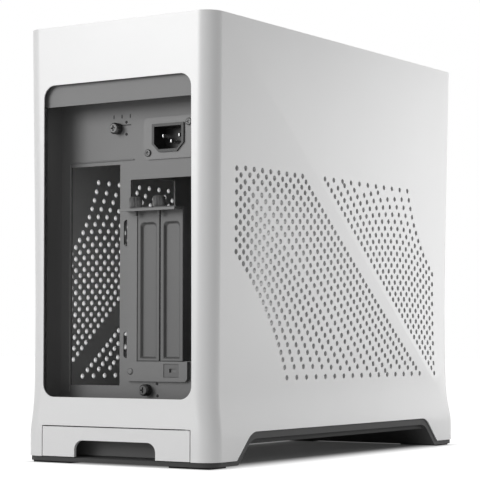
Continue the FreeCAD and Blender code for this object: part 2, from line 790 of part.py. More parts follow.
def make_rear_plate():
    body = new_body("rear_plate")
    pad(body, "top", floor_top, top_frame_low, u_loop(rear_inside, rear_face, half_length - pan_set_back))
    screw_hole = screw_radius + fit_gap
    housing = inlet_width / 2 + fit_gap
    socket = box_loop(inlet_middle - housing, inlet_middle + housing,
                      inlet_height - inlet_tall / 2 - fit_gap, inlet_height + inlet_tall / 2 + fit_gap)
    side_slot = (card_left + io_left) / 2 - steel
    openings = [
        box_loop(io_left, io_left + io_width, io_low, io_low + io_height),
        box_loop(card_right, card_left, card_low, card_high),
        socket,
        (lower_screw, lower_screw_height, screw_hole),
        (upper_screw, upper_screw_height, screw_hole),
    ]
    for row in range(2):
        low = card_low + side_slot_margin + row * side_slot_pitch
        openings.append(obround(side_slot, low, low + side_slot_length, side_slot_radius))
    pocket(body, "rear", rear_inside, rear_face, *openings)
    return body


def make_window_crossbar():
    back = half_length - crossbar_set_back
    top = crossbar_low + crossbar_height
    inner = pan_half - steel - fit_gap
    loop = [
        (back - steel, crossbar_low),
        (back, crossbar_low),
        (back, top),
        (back - crossbar_depth, top),
        (back - crossbar_depth, top - steel),
        (back - steel, top - steel),
    ]
    return plate("window_crossbar", "side", -inner, inner, loop)


def make_front_plate():
    body = new_body("front_plate")
    folded = u_loop(frame_front, front_inside, front_inside + front_flange)
    pad(body, "top", floor_top, top_frame_low, folded)
    opening_half = pan_half - 2 * front_flange
    opening = box_loop(-opening_half, opening_half, window_low + front_flange, window_high - front_flange,
                       window_corner)
    pocket(body, "rear", frame_front, front_inside, opening)
    return body


def make_spine_plate():
    front = front_inside + front_flange + fit_gap
    loop = [
        (front, floor_top),
        (rear_inside, floor_top),
        (rear_inside, spine_step),
        (rear_inside - spine_notch, spine_step),
        (rear_inside - spine_notch, spine_arm),
        (rear_inside, spine_arm),
        (rear_inside, spine_top),
        (front, spine_top),
    ]
    window_rear = rear_face - access_set
    window = box_loop(window_rear - access_length, window_rear, access_low, access_low + access_tall,
                      window_corner)
    body = plate("spine_plate", "side", spine_left, spine_right, loop, window)
    tab = knob_radius + steel
    hole = screw_radius + fit_gap
    for screw, height in ((upper_screw, upper_screw_height), (lower_screw, lower_screw_height)):
        if screw.value > spine_left.value:
            ends = (spine_left, screw + tab)
        else:
            ends = (screw - tab, spine_right)
        pad(body, "rear", rear_inside - steel, rear_inside, box_loop(*ends, height - tab, height + tab))
        pocket(body, "rear", rear_inside - steel, rear_inside, (screw, height, hole))
    return body


def make_standoffs():
    # Hexagonal spacers with a through hole
    rear_row = rear_face - board_set
    middle = io_low + io_height / 2
    pieces = []
    for row, (back, side) in enumerate([(0, -1), (0, 1), (1, -1), (1, 1)]):
        spot = (rear_row - back * board_deep, middle + side * board_tall / 2)
        pieces.append(plate(f"standoff_{row}", "side", spine_right, spine_right + standoff_length,
                            ring_loop(*spot, standoff_radius, 6), (*spot, standoff_hole)))
    return group("standoffs", pieces)


def make_psu_bracket():
    face = front_inside + supply_back
    right = spine_left - fit_gap
    left = right - supply_width
    top = supply_low + supply_tall
    opening = box_loop(left + supply_rim, right - supply_rim,
                       supply_low + 2 * supply_rim, top - 2 * supply_rim)
    loops = [box_loop(left, right, supply_low, top), opening]
    for side in (-1, 1):
        for row in (-1, 1):
            spot = ((left + right) / 2 + side * supply_wide_holes / 2,
                    supply_low + supply_tall / 2 + row * supply_tall_holes / 2)
            loops.append((*spot, supply_screw))
    body = plate("psu_bracket", "rear", face - steel, face, *loops)
    arm = box_loop(left, left + steel, supply_low, top)
    return pad(body, "rear", front_inside, face, arm)


# Expansion slots

def make_slot_frame():
    body = new_body("slot_frame")
    post_left = cover_first + cover_width / 2 + fit_gap
    post_right = card_left + steel
    cover_gap = cover_sheet + fit_gap
    low_right = box_loop(sill_right, post_right, sill_low, card_low - fit_gap)
    low_right[0] = (*low_right[0], sill_rise)
    pad(body, "rear", rear_face, rear_face + sill_rise, low_right)
    post = box_loop(post_left, post_right, sill_low, shelf_top)
    pad(body, "rear", rear_face, rear_face + cover_gap + steel, post)
    shelf_end = cover_first - slot_pitch - cover_width / 2 - fit_gap
    back = rear_face + shelf_depth
    shelf = box_loop(shelf_end, post_right, shelf_top - steel, shelf_top)
    pad(body, "rear", rear_face + cover_gap, back, shelf)
    lip = box_loop(shelf_end, post_right, shelf_top - shelf_lip, shelf_top)
    pad(body, "rear", back - steel, back, lip)
    clip_right = clip_left - clip_width
    pocket(body, "rear", rear_face + steel, rear_face + sill_rise,
           box_loop(clip_right, clip_left, clip_low, clip_low + clip_height))
    holes = [(slot_screw(row), slot_screw_back(), screw_radius + fit_gap) for row in range(2)]
    pocket(body, "top", shelf_top - steel, shelf_top, *holes)
    return body


def slot_middle(row):
    return cover_first - row * slot_pitch


def slot_screw(row):
    return slot_middle(row) + cover_width / 2 - steel


def slot_screw_back():
    return rear_face + shelf_depth / 2


def make_slot_cover(row):
    name = f"slot_cover_{row + 1}"
    left = slot_middle(row) - cover_width / 2
    right = slot_middle(row) + cover_width / 2
    body = new_body(name)
    top = shelf_top + cover_sheet
    pad(body, "rear", rear_face, rear_face + cover_sheet, box_loop(left, right, card_low, top))
    field = cover_field / 2
    pad(body, "rear", rear_face + cover_sheet, rear_face + 2 * cover_sheet,
        box_loop(slot_middle(row) - field, slot_middle(row) + field, card_low + 2,
                 shelf_top - shelf_lip * 2, cover_sheet))
    tab_end = rear_face + shelf_depth - steel
    pad(body, "rear", rear_face, tab_end, box_loop(left, right, shelf_top, top))
    pocket(body, "top", shelf_top, top, (slot_screw(row), slot_screw_back(), screw_radius + fit_gap))
    return body


def make_slot_clip():
    right = clip_left - fit_gap
    left = clip_left - clip_width + fit_gap
    low = clip_low + fit_gap
    high = clip_low + clip_height - fit_gap
    middle = (low + high) / 2
    hole = box_loop(left + clip_far, right - clip_near, middle - clip_hole / 2, middle + clip_hole / 2)
    return plate("slot_clip", "rear", rear_face + steel, rear_face + sill_rise - fit_gap,
                 box_loop(left, right, low, high), hole)


# Power inlet

def inlet_loop(inset, bevel):
    left = inlet_middle - inlet_width / 2 + inset
    right = inlet_middle + inlet_width / 2 - inset
    low = inlet_height - inlet_tall / 2 + inset
    high = inlet_height + inlet_tall / 2 - inset
    return [
        (left + bevel, low),
        (right - bevel, low),
        (right, low + bevel),
        (right, high),
        (left, high),
        (left, low + bevel),
    ]


def inlet_screw_spots():
    reach = inlet_width / 2 + inlet_margin / 2
    drop = inlet_tall / 2
    return [(inlet_middle + reach, inlet_height - drop), (inlet_middle - reach, inlet_height + drop)]


def make_inlet():
    plate_half = inlet_width / 2 + inlet_margin
    plate_tall = inlet_tall / 2 + inlet_margin_high
    outer = box_loop(inlet_middle - plate_half, inlet_middle + plate_half, inlet_height - plate_tall,
                     inlet_height + plate_tall, inlet_margin / 2)
    face = rear_face + steel
    backing = plate("inlet_plate", "rear", rear_face, face, outer, inlet_loop(0, inlet_bevel))
    rim = face + steel
    housing = plate("power_inlet", "rear", rim - inlet_depth, rim, inlet_loop(0, inlet_bevel))
    seat = rim - inlet_depth + inlet_wall
    pocket(housing, "rear", seat, rim, inlet_loop(inlet_wall, inlet_bevel - inlet_wall))
    pin_tip = rim - 2 * inlet_wall
    pins = []
    for row, (across, up) in enumerate([(-pin_spread, pin_rise), (0, -pin_drop), (pin_spread, pin_rise)]):
        spot = (inlet_middle + across, inlet_height + up)
        loop = box_loop(spot[0] - pin_width / 2, spot[0] + pin_width / 2,
                        spot[1] - pin_height / 2, spot[1] + pin_height / 2)
        pins.append(plate(f"inlet_pin_{row}", "rear", seat, pin_tip, loop))
    screws = []
    for row, spot in enumerate(inlet_screw_spots()):
        screws.append(plate(f"inlet_screw_{row}", "rear", face, face + steel, (*spot, inlet_screw)))
    return [backing, housing, group("inlet_pins", pins), group("inlet_screws", screws)]


# Thumbscrews

knob_flats = 16


def make_thumbscrews():
    pieces = []
    for name, spot in (("spine_thumbscrew_upper", (upper_screw, upper_screw_height)),
                       ("spine_thumbscrew_lower", (lower_screw, lower_screw_height))):
        under = rear_face + fit_gap
        body = plate(name, "rear", under, under + knob_height, ring_loop(*spot, knob_radius, knob_flats))
        pieces.append(pad(body, "rear", rear_inside - shank_reach, under, (*spot, screw_radius)))
    for row in range(2):
        spot = (slot_screw(row), slot_screw_back())
        under = shelf_top + cover_sheet + fit_gap
        body = plate(f"slot_thumbscrew_{row + 1}", "top", under, under + slot_knob_height,
                     ring_loop(*spot, slot_knob_radius, knob_flats))
        pieces.append(pad(body, "top", shelf_top - shank_reach, under, (*spot, screw_radius)))
    return pieces


# Top cover

def inset_frame_loop(inset):
    return box_loop(inset - frame_half, frame_half - inset, frame_front + inset, frame_reach - inset)


def make_top_cover():
    inset = shell_wall + cover_play
    across = half_width - inset
    along = half_length - inset
    high = case_height - cover_drop
    low = high - top_sheet
    panel_loop = box_loop(-across, across, -along, along, shell_corner - inset)
    body = plate("top_panel", "top", low, high, panel_loop)
    rows = int((frame_reach.value - frame_front.value) / slot_row.value) - 4
    gap = slot_row / 2
    first = -slot_row * (rows - 1) / 2 - slot_width / 2
    last = first + slot_width
    left_slot = box_loop(-slot_length - gap, -gap, first, last)
    right_slot = box_loop(gap, slot_length + gap, first, last)
    pocket(body, "top", low, high, left_slot, right_slot)
    slots = body.Tip
    pattern = body.newObject("PartDesign::LinearPattern", "top_panel_slots")
    pattern.Originals = [slots]
    pattern.Direction = (slots.Profile[0], ["V_Axis"])
    bind(pattern, "Length", slot_row * (rows - 1))
    pattern.Occurrences = rows
    body.Tip = pattern
    skirt = [inset_frame_loop(inset) for inset in (skirt_inset, skirt_inset + steel)]
    pad(body, "top", top_frame_top, low, *skirt)
    mesh_loop = inset_frame_loop(skirt_inset + steel + fit_gap)
    mesh = plate("top_filter", "top", low - filter_sheet, low, mesh_loop)
    return [body, mesh]


pieces = [
    make_outer_shell(),
    make_base_frame(),
    make_foot_pads(),
    make_floor_plate(),
    make_rear_plate(),
    make_window_crossbar(),
    make_front_plate(),
    make_top_frame(),
    make_spine_plate(),
    make_standoffs(),
    make_psu_bracket(),
    make_slot_frame(),
    make_slot_cover(0),
    make_slot_cover(1),
    make_slot_clip(),
    *make_inlet(),
    *make_thumbscrews(),
    *make_drawer(),
    *make_front_connections(),
    *make_top_cover(),
]

doc.recompute()
for thing in doc.Objects:
    if "Invalid" in thing.State or "Error" in thing.State:
        raise RuntimeError(f"{thing.Name} did not build")
for piece in pieces:
    if piece.Shape.isNull() or not piece.Shape.isValid():
        raise RuntimeError(f"{piece.Label} has no sound shape")

os.makedirs("parts", exist_ok=True)
for piece in pieces:
    piece.Shape.exportStep(os.path.join("parts", piece.Label + ".step"))
print(len(pieces), "pieces written")
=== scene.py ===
import math

import bmesh
import bpy
from mathutils import Matrix, Vector


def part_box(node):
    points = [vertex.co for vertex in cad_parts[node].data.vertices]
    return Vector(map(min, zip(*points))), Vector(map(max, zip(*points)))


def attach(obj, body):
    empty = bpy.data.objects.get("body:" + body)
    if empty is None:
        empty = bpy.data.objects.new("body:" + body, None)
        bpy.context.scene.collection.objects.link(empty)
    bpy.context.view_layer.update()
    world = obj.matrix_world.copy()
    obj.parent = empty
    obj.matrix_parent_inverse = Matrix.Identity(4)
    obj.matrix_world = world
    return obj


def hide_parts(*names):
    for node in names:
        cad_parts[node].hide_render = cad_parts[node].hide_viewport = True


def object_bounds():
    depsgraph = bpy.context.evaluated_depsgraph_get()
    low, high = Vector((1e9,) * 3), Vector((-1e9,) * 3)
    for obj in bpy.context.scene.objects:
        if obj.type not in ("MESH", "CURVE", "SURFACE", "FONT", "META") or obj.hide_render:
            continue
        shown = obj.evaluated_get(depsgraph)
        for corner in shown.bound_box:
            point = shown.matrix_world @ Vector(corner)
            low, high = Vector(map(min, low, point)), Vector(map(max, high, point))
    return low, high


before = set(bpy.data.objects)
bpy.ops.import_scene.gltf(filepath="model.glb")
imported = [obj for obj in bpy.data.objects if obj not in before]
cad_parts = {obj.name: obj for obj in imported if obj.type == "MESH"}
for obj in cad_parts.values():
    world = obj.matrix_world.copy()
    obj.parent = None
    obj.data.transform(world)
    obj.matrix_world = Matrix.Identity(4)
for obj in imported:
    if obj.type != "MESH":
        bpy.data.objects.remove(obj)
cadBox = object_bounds()
mm = 0.001
hair = 0.01  # mm, closer than this counts as the same place
print("frame loaded:", len(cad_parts), "nodes")


# Shader maths

class Field:  # a value that changes over a surface
    def __init__(self, tree, socket):
        self.tree = tree
        self.socket = socket

    def join(self, operation, first, second=None):
        node = self.tree.nodes.new("ShaderNodeMath")
        node.operation = operation
        for slot, value in zip(node.inputs, (first, second)):
            if isinstance(value, Field):
                self.tree.links.new(value.socket, slot)
            elif value is not None:
                slot.default_value = value
        return Field(self.tree, node.outputs[0])

    def __add__(self, other):
        return self.join("ADD", self, other)

    def __radd__(self, other):
        return self.join("ADD", other, self)

    def __sub__(self, other):
        return self.join("SUBTRACT", self, other)

    def __rsub__(self, other):
        return self.join("SUBTRACT", other, self)

    def __mul__(self, other):
        return self.join("MULTIPLY", self, other)

    def __rmul__(self, other):
        return self.join("MULTIPLY", other, self)

    def __gt__(self, other):
        return self.join("GREATER_THAN", self, other)

    def __abs__(self):
        return self.join("ABSOLUTE", self)

    def most(self, other):
        return self.join("MAXIMUM", self, other)

    def wave(self):
        return self.join("SINE", self)


class Nodes:  # adds nodes to a material or to the world
    def __init__(self, tree):
        self.tree = tree

    def node(self, kind, settings, sockets, out=0):
        node = self.tree.nodes.new(kind)
        for key, value in settings.items():
            if key == "stops":
                for stop, (place, colour) in zip(node.color_ramp.elements, value):
                    stop.position = place
                    stop.color = colour
            else:
                setattr(node, key, value)
        for key, value in sockets.items():
            if isinstance(value, Field):
                self.tree.links.new(value.socket, node.inputs[key])
            else:
                node.inputs[key].default_value = value
        return Field(self.tree, node.outputs[out])

    def beside(self, field, out):  # another output of the node that a field comes from
        return Field(self.tree, field.socket.node.outputs[out])

    def whiteRays(self):  # 1 for the rays that see a white background
        seen = self.node("ShaderNodeLightPath", {}, {}, "Is Camera Ray")
        glossy = self.beside(seen, "Is Glossy Ray")
        through = self.beside(seen, "Is Transmission Ray")
        return seen.most(glossy).most(through)


class Finish(Nodes):  # one material
    def __init__(self, name, sockets):
        self.material = bpy.data.materials.new(name)
        self.material.use_nodes = True
        super().__init__(self.material.node_tree)
        self.shader = self.tree.nodes["Principled BSDF"]
        for key, value in sockets.items():
            self.shader.inputs[key].default_value = value

    def feed(self, key, field):
        self.tree.links.new(field.socket, self.shader.inputs[key])

    def spot(self):
        return self.node("ShaderNodeTexCoord", {}, {}, "Object")

    def flatSpot(self):  # how far across and along a point of the surface lies
        across = self.node("ShaderNodeSeparateXYZ", {}, {"Vector": self.spot()}, "X")
        return across, self.beside(across, "Y")

    def noise(self, scale, detail=3, rough=0.55):
        sockets = {"Vector": self.spot(), "Scale": scale, "Detail": detail, "Roughness": rough}
        return self.node("ShaderNodeTexNoise", {}, sockets)

    def ramp(self, value, low, high, start=0.3, end=0.7):
        stops = [(start, (*low, 1)), (end, (*high, 1))]
        return self.node("ShaderNodeValToRGB", {"stops": stops}, {"Fac": value})

    def bump(self, height, strength, distance):
        sockets = {"Height": height, "Strength": strength, "Distance": distance}
        return self.node("ShaderNodeBump", {}, sockets)


def grey(level):
    return (level, level, level)


# Finishes

surfaceIor = 1.5
coat = {"cloudScale": 9, "cloudDetail": 4, "cloudShare": 0.6, "grainDetail": 2, "grainRough": 0.7}


def coatedFinish(name, look):  # blasted, painted or moulded: a soft cloudy tone with a fine grain
    made = Finish(name, {"Metallic": look["metal"], "IOR": surfaceIor})
    cloud = made.noise(coat["cloudScale"], coat["cloudDetail"])
    grain = made.noise(look["grainScale"], coat["grainDetail"], coat["grainRough"])
    mixed = coat["cloudShare"] * cloud + (1 - coat["cloudShare"]) * grain
    low = grey(look["tone"] * (1 - look["spread"]))
    high = grey(look["tone"] * (1 + look["spread"]))
    made.feed("Base Color", made.ramp(mixed, low, high))
    made.feed("Roughness", look["rough"] + look["roughSpread"] * (grain - 0.5))
    made.feed("Normal", made.bump(grain, look["bump"], look["bumpDepth"]))
    return made.material


looks = {
    "shell_aluminium": {"tone": 0.85, "spread": 0.02, "metal": 0.12, "rough": 0.4, "roughSpread": 0.1,
                        "grainScale": 2600, "bump": 0.12, "bumpDepth": 0.0002},
    "frame_steel": {"tone": 0.175, "spread": 0.05, "metal": 0.25, "rough": 0.5, "roughSpread": 0.15,
                    "grainScale": 1500, "bump": 0.2, "bumpDepth": 0.0002},
    "cover_steel": {"tone": 0.125, "spread": 0.05, "metal": 0.25, "rough": 0.48, "roughSpread": 0.15,
                    "grainScale": 1500, "bump": 0.2, "bumpDepth": 0.0002},
    "base_plastic": {"tone": 0.04, "spread": 0.12, "metal": 0.0, "rough": 0.7, "roughSpread": 0.2,
                     "grainScale": 1800, "bump": 0.3, "bumpDepth": 0.0003},
    "tray_plastic": {"tone": 0.13, "spread": 0.08, "metal": 0.0, "rough": 0.6, "roughSpread": 0.15,
                     "grainScale": 1800, "bump": 0.2, "bumpDepth": 0.0002},
    # the base plastic made darker: painted shade for the shaded band under the arches
    "rail_plastic_painted_shade": {"tone": 0.016, "spread": 0.12, "metal": 0.0, "rough": 0.8, "roughSpread": 0.15,
                     "grainScale": 1800, "bump": 0.3, "bumpDepth": 0.0003},
    "foot_rubber": {"tone": 0.03, "spread": 0.2, "metal": 0.0, "rough": 0.85, "roughSpread": 0.1,
                    "grainScale": 900, "bump": 0.4, "bumpDepth": 0.0004},
    "screw_steel": {"tone": 0.085, "spread": 0.15, "metal": 0.75, "rough": 0.34, "roughSpread": 0.2,
                    "grainScale": 1200, "bump": 0.1, "bumpDepth": 0.0001},
    "bright_metal": {"tone": 0.66, "spread": 0.06, "metal": 1.0, "rough": 0.25, "roughSpread": 0.15,
                     "grainScale": 1600, "bump": 0.08, "bumpDepth": 0.0001},
    "jack_plastic": {"tone": 0.02, "spread": 0.15, "metal": 0.0, "rough": 0.4, "roughSpread": 0.1,
                     "grainScale": 2000, "bump": 0.15, "bumpDepth": 0.0001},
    "inlet_steel": {"tone": 0.17, "spread": 0.05, "metal": 0.3, "rough": 0.45, "roughSpread": 0.15,
                    "grainScale": 1500, "bump": 0.2, "bumpDepth": 0.0002},
}

weave = {"pitch": 0.0011, "wire": 0.5, "tone": 0.05, "spread": 0.2, "cloudScale": 700, "rough": 0.6,
         "roughSpread": 0.1}


def wovenFinish(name):  # filter cloth: two sets of wires with open squares between them
    made = Finish(name, {"IOR": surfaceIor})
    turns = 2 * math.pi / weave["pitch"]
    first, second = [(line * turns).wave() for line in made.flatSpot()]
    made.feed("Alpha", (first > weave["wire"]).most(second > weave["wire"]))
    low = grey(weave["tone"] * (1 - weave["spread"]))
    high = grey(weave["tone"] * (1 + weave["spread"]))
    made.feed("Base Color", made.ramp(made.noise(weave["cloudScale"]), low, high))
    made.feed("Roughness", weave["rough"] + weave["roughSpread"] * first)
    return made.material


lacquer = {"trackScale": 420, "dark": (0.008, 0.03, 0.014), "light": (0.016, 0.07, 0.03), "rough": 0.3,
           "roughSpread": 0.2, "roughScale": 500, "bump": 0.2, "bumpDepth": 0.0002}


def boardFinish(name):  # circuit board: dark lacquer over faint tracks
    made = Finish(name, {"IOR": surfaceIor})
    sockets = {"Vector": made.spot(), "Scale": lacquer["trackScale"]}
    cells = made.node("ShaderNodeTexVoronoi", {"distance": "MANHATTAN"}, sockets)
    made.feed("Base Color", made.ramp(cells, lacquer["dark"], lacquer["light"]))
    made.feed("Roughness", lacquer["rough"] + lacquer["roughSpread"] * made.noise(lacquer["roughScale"]))
    made.feed("Normal", made.bump(cells, lacquer["bump"], lacquer["bumpDepth"]))
    return made.material


finishes = {name: coatedFinish(name, look) for name, look in looks.items()}
finishes["filter_weave"] = wovenFinish("filter_weave")
finishes["circuit_board"] = boardFinish("circuit_board")

wears = {
    "frame_steel": ["rear_plate", "window_crossbar", "slot_frame", "top_frame", "floor_plate", "front_plate",
                    "spine_plate", "psu_bracket"],
    "cover_steel": ["slot_clip"],
    "tray_plastic": ["drawer_tray"],
    "inlet_steel": ["inlet_plate"],
    "base_plastic": ["base_frame", "io_bezel"],
    "foot_rubber": ["foot_pads"],
    "jack_plastic": ["power_inlet", "audio_jack"],
    "bright_metal": ["usb_c_port", "usb_a_ports", "power_button"],
    "screw_steel": ["standoffs"],
    "shell_aluminium": ["drawer_front", "top_panel"],
    "filter_weave": ["drawer_filter", "top_filter"],
    "circuit_board": ["io_board"],
}
for finish, nodes in wears.items():
    for node in nodes:
        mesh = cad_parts[node].data
        mesh.materials.clear()
        mesh.materials.append(finishes[finish])
print("finishes set on the frame's nodes")


# Making pieces

def settle(bm, name, finish, body, stands=()):  # puts a bmesh in the scene as a finished piece
    mesh = bpy.data.meshes.new(name)
    bm.to_mesh(mesh)
    bm.free()
    piece = bpy.data.objects.new(name, mesh)
    bpy.context.scene.collection.objects.link(piece)
    mesh.materials.append(finishes[finish])
    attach(piece, body)
    if stands:
        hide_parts(*stands)
    return piece


def nodeBox(node):  # a node's corners in mm
    return [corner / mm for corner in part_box(node)]


def partsOf(made, kind):  # the vertices, edges or faces that an operator gives back
    return [part for part in made["geom"] if isinstance(part, kind)]


def facingRear(point):  # turns what stands upright on the origin to the rear, at that point
    return Matrix.Translation(Vector(point) * mm) @ Matrix.Rotation(-math.pi / 2, 4, "X")


def flatOutline(bm, points):  # one flat face, and its corners in order
    verts = [bm.verts.new(Vector(point) * mm) for point in points]
    return bm.faces.new(verts), verts


def uprightLoop(left, right, place, low, high):  # corners of an upright rectangle that faces the rear
    return [(left, place, low), (right, place, low), (right, place, high), (left, place, high)]


def drawOut(bm, faces, depth):  # draws flat faces out into bars that are closed at both ends
    made = bmesh.ops.extrude_face_region(bm, geom=faces, use_keep_orig=True)
    bmesh.ops.translate(bm, verts=partsOf(made, bmesh.types.BMVert), vec=Vector(depth) * mm)


def block(bm, low, high):  # a box between two corners, as its own island
    (x0, y0, z0), (x1, y1, z1) = low, high
    before = set(bm.faces)
    face, _ = flatOutline(bm, [(x0, y0, z0), (x1, y0, z0), (x1, y1, z0), (x0, y1, z0)])
    drawOut(bm, [face], (0, 0, z1 - z0))
    bmesh.ops.recalc_face_normals(bm, faces=[side for side in bm.faces if side not in before])


def roundCorners(bm, verts, radius, steps):  # rounds corners of an outline by that distance along its edges
    bmesh.ops.bevel(bm, geom=verts, offset=radius * mm, offset_type="ABSOLUTE", segments=steps, profile=0.5,
                    affect="VERTICES", material=-1)


def barCutter(points, depth, rounds=(), radius=0, steps=0):  # a bar of that outline, to be cut from a piece
    bm = bmesh.new()
    _, verts = flatOutline(bm, points)
    if rounds:
        roundCorners(bm, [verts[row] for row in rounds], radius, steps)
    drawOut(bm, list(bm.faces), depth)
    bmesh.ops.recalc_face_normals(bm, faces=bm.faces)
    return bm


def cutAway(piece, cutters, solver="EXACT"):  # cuts each bmesh from the piece for good
    helpers = []
    for cutter in cutters:
        mesh = bpy.data.meshes.new("cutter")
        cutter.to_mesh(mesh)
        cutter.free()
        helper = bpy.data.objects.new("cutter", mesh)
        bpy.context.scene.collection.objects.link(helper)
        change = piece.modifiers.new("cut", "BOOLEAN")
        change.operation = "DIFFERENCE"
        change.solver = solver
        change.object = helper
        helpers.append(helper)
    bpy.context.view_layer.update()
    whole = piece.evaluated_get(bpy.context.evaluated_depsgraph_get())
    result = bpy.data.meshes.new_from_object(whole)
    piece.modifiers.clear()
    old = piece.data
    piece.data = result
    bpy.data.meshes.remove(old)
    for helper in helpers:
        spare = helper.data
        bpy.data.objects.remove(helper)
        bpy.data.meshes.remove(spare)


def shade(piece, angle=40, extra=None):  # smooth faces that keep their sharp edges
    bm = bmesh.new()
    bm.from_mesh(piece.data)
    limit = math.radians(angle)
    for face in bm.faces:
        face.smooth = True
    for edge in bm.edges:
        edge.smooth = edge.calc_face_angle(0) < limit and not (extra and extra(edge))
    bm.to_mesh(piece.data)
    bm.free()
    weigh = piece.modifiers.new("weigh", "WEIGHTED_NORMAL")
    weigh.keep_sharp = True


def soften(piece, width, steps=3):  # breaks the sharp edges, then shades
    change = piece.modifiers.new("soften", "BEVEL")
    change.width = width * mm
    change.segments = steps
    change.limit_method = "ANGLE"
    shade(piece)


# Outer shell

shell = {
    "across": 82.5, "along": 183, "top": 314, "wall": 2.5, "corner": 13, "cornerSteps": 14,
    "frontIn": 5.2, "rearIn": 1, "sideIn": 3.3,  # how far the walls stand in at the waist
    "profile": [(4.8, 0), (20.5, 0), (24, 0.06), (28, 0.21), (33, 0.43), (38, 0.65), (44, 0.84), (51, 0.95),
                (62, 0.99), (85, 1.01), (110, 0.99), (150, 0.84), (200, 0.59), (250, 0.32), (290, 0.115),
                (314, 0)],  # levels, and the share of the waist that they take
    "creaseTop": 13.5, "creaseLow": 333, "creaseLevel": 48, "lean": 3.2,
    "creaseSlack": 1, "creaseTouch": 0.05,
}


def waistShare(level):  # how much of the waist the walls take at that level
    for (low, first), (high, second) in zip(shell["profile"], shell["profile"][1:]):
        if level <= high:
            return first + (second - first) * (level - low) / (high - low)
    return shell["profile"][-1][1]


def rearWall(level):  # outer face of the rear wall at that level
    return shell["along"] - shell["rearIn"] * waistShare(level)


def creaseAt(level):  # where the crease of a side crosses that level
    share = (shell["top"] - max(level, shell["creaseLevel"])) / (shell["top"] - shell["creaseLevel"])
    return shell["along"] - shell["creaseTop"] - share * (shell["creaseLow"] - shell["creaseTop"])


def shellSkin(bm):  # the outer face of the shell as a straight tube, then leaned into its shape
    across = shell["across"]
    along = shell["along"]
    levels = [level for level, _ in shell["profile"]]
    start = creaseAt(levels[0])
    outline = [(-across, -along), (across, -along), (across, -start), (across, along), (-across, along),
               (-across, start)]
    _, verts = flatOutline(bm, [(x, y, levels[0]) for x, y in outline])
    roundCorners(bm, [verts[row] for row in (0, 1, 3, 4)], shell["corner"], shell["cornerSteps"])
    bmesh.ops.delete(bm, geom=list(bm.faces), context="FACES_ONLY")
    edges = list(bm.edges)
    for low, high in zip(levels, levels[1:]):
        made = bmesh.ops.extrude_edge_only(bm, edges=edges)
        edges = partsOf(made, bmesh.types.BMEdge)
        bmesh.ops.translate(bm, verts=partsOf(made, bmesh.types.BMVert), vec=(0, 0, (high - low) * mm))
    leanShare = shell["lean"] / (shell["creaseLow"] - shell["rearIn"])
    for vert in bm.verts:
        x, y, level = vert.co / mm
        share = waistShare(level)
        side = math.copysign(1, -x)  # the far side is the near one turned half round
        bend = creaseAt(level)
        if abs(side * y - start) < hair:
            y = side * bend
        elif y > 0:
            y -= shell["rearIn"] * share
        else:
            y += shell["frontIn"] * share
        fade = 1 if level >= shell["creaseLevel"] else share
        beyond = max(0, bend - side * y) / (bend + along)  # 0 on the crease, 1 at the far end of the side
        x += side * (leanShare * fade * max(0, side * y - bend) + shell["sideIn"] * share * beyond)
        vert.co = Vector((x, y, level)) * mm


vents = {
    "hole": 2, "sides": 12, "over": 5, "slope": 0.8356, "pull": 0.727, "parts": 2000, "lastStep": 0.6,
    "lines": 16, "step": 6.12, "stepRise": 0.72, "lowRow": 253.3, "lowStart": 99.4, "lowPitch": 13.42,
    "rearLines": 8, "rear": 32.4, "rearLow": 165, "rearHigh": 107,
    "topRow": 106.2, "topStart": 43.4, "topPitch": 10.75,
    "frontLines": 11, "frontStep": 6.6, "frontStepRise": 0.07, "frontStart": 150.6, "frontPitch": 13.27,
    "frontRow": 105.8, "frontEnd": 327.5, "frontLow": 253.4, "frontHigh": 171.9,
}


def rearField():  # lines of the field behind the crease, in mm from the rear wall and down from the rim
    lines = []
    middle = (vents["lines"] - 1) / 2
    for row in range(vents["lines"]):
        if row < vents["rearLines"]:
            share = row / (vents["rearLines"] - 1)
            down = vents["rearLow"] + share * (vents["rearHigh"] - vents["rearLow"])
            start = Vector((vents["rear"], down))
        else:
            along = vents["topStart"] + vents["topPitch"] * (row - vents["rearLines"])
            start = Vector((along, vents["topRow"]))
        end = Vector((vents["lowStart"] + vents["lowPitch"] * row, vents["lowRow"]))
        step = vents["step"] + vents["stepRise"] * (1 - abs(row / middle - 1))  # widest in the middle
        lines.append((start, end, step))
    return lines


def frontField():  # lines of the field before the crease, measured in the same way
    lines = []
    for row in range(vents["frontLines"]):
        share = row / (vents["frontLines"] - 1)
        down = vents["frontLow"] + share * (vents["frontHigh"] - vents["frontLow"])
        start = Vector((vents["frontEnd"], down))
        end = Vector((vents["frontStart"] + vents["frontPitch"] * row, vents["frontRow"]))
        lines.append((start, end, vents["frontStep"] + vents["frontStepRise"] * row))
    return lines


def lineSpots(start, end, step):  # holes at even steps along a line that starts at the slope of the crease
    middle = start + vents["pull"] * (end.x - start.x) * Vector((1, vents["slope"]))
    spots = [start]
    here = start
    gone = 0
    for part in range(1, vents["parts"] + 1):
        t = part / vents["parts"]
        there = start * (1 - t) ** 2 + middle * 2 * t * (1 - t) + end * t ** 2
        gone += (there - here).length
        here = there
        if gone >= step * len(spots):
            spots.append(there)
    if (end - spots[-1]).length < vents["lastStep"] * step:
        spots.pop()
    return spots + [end]


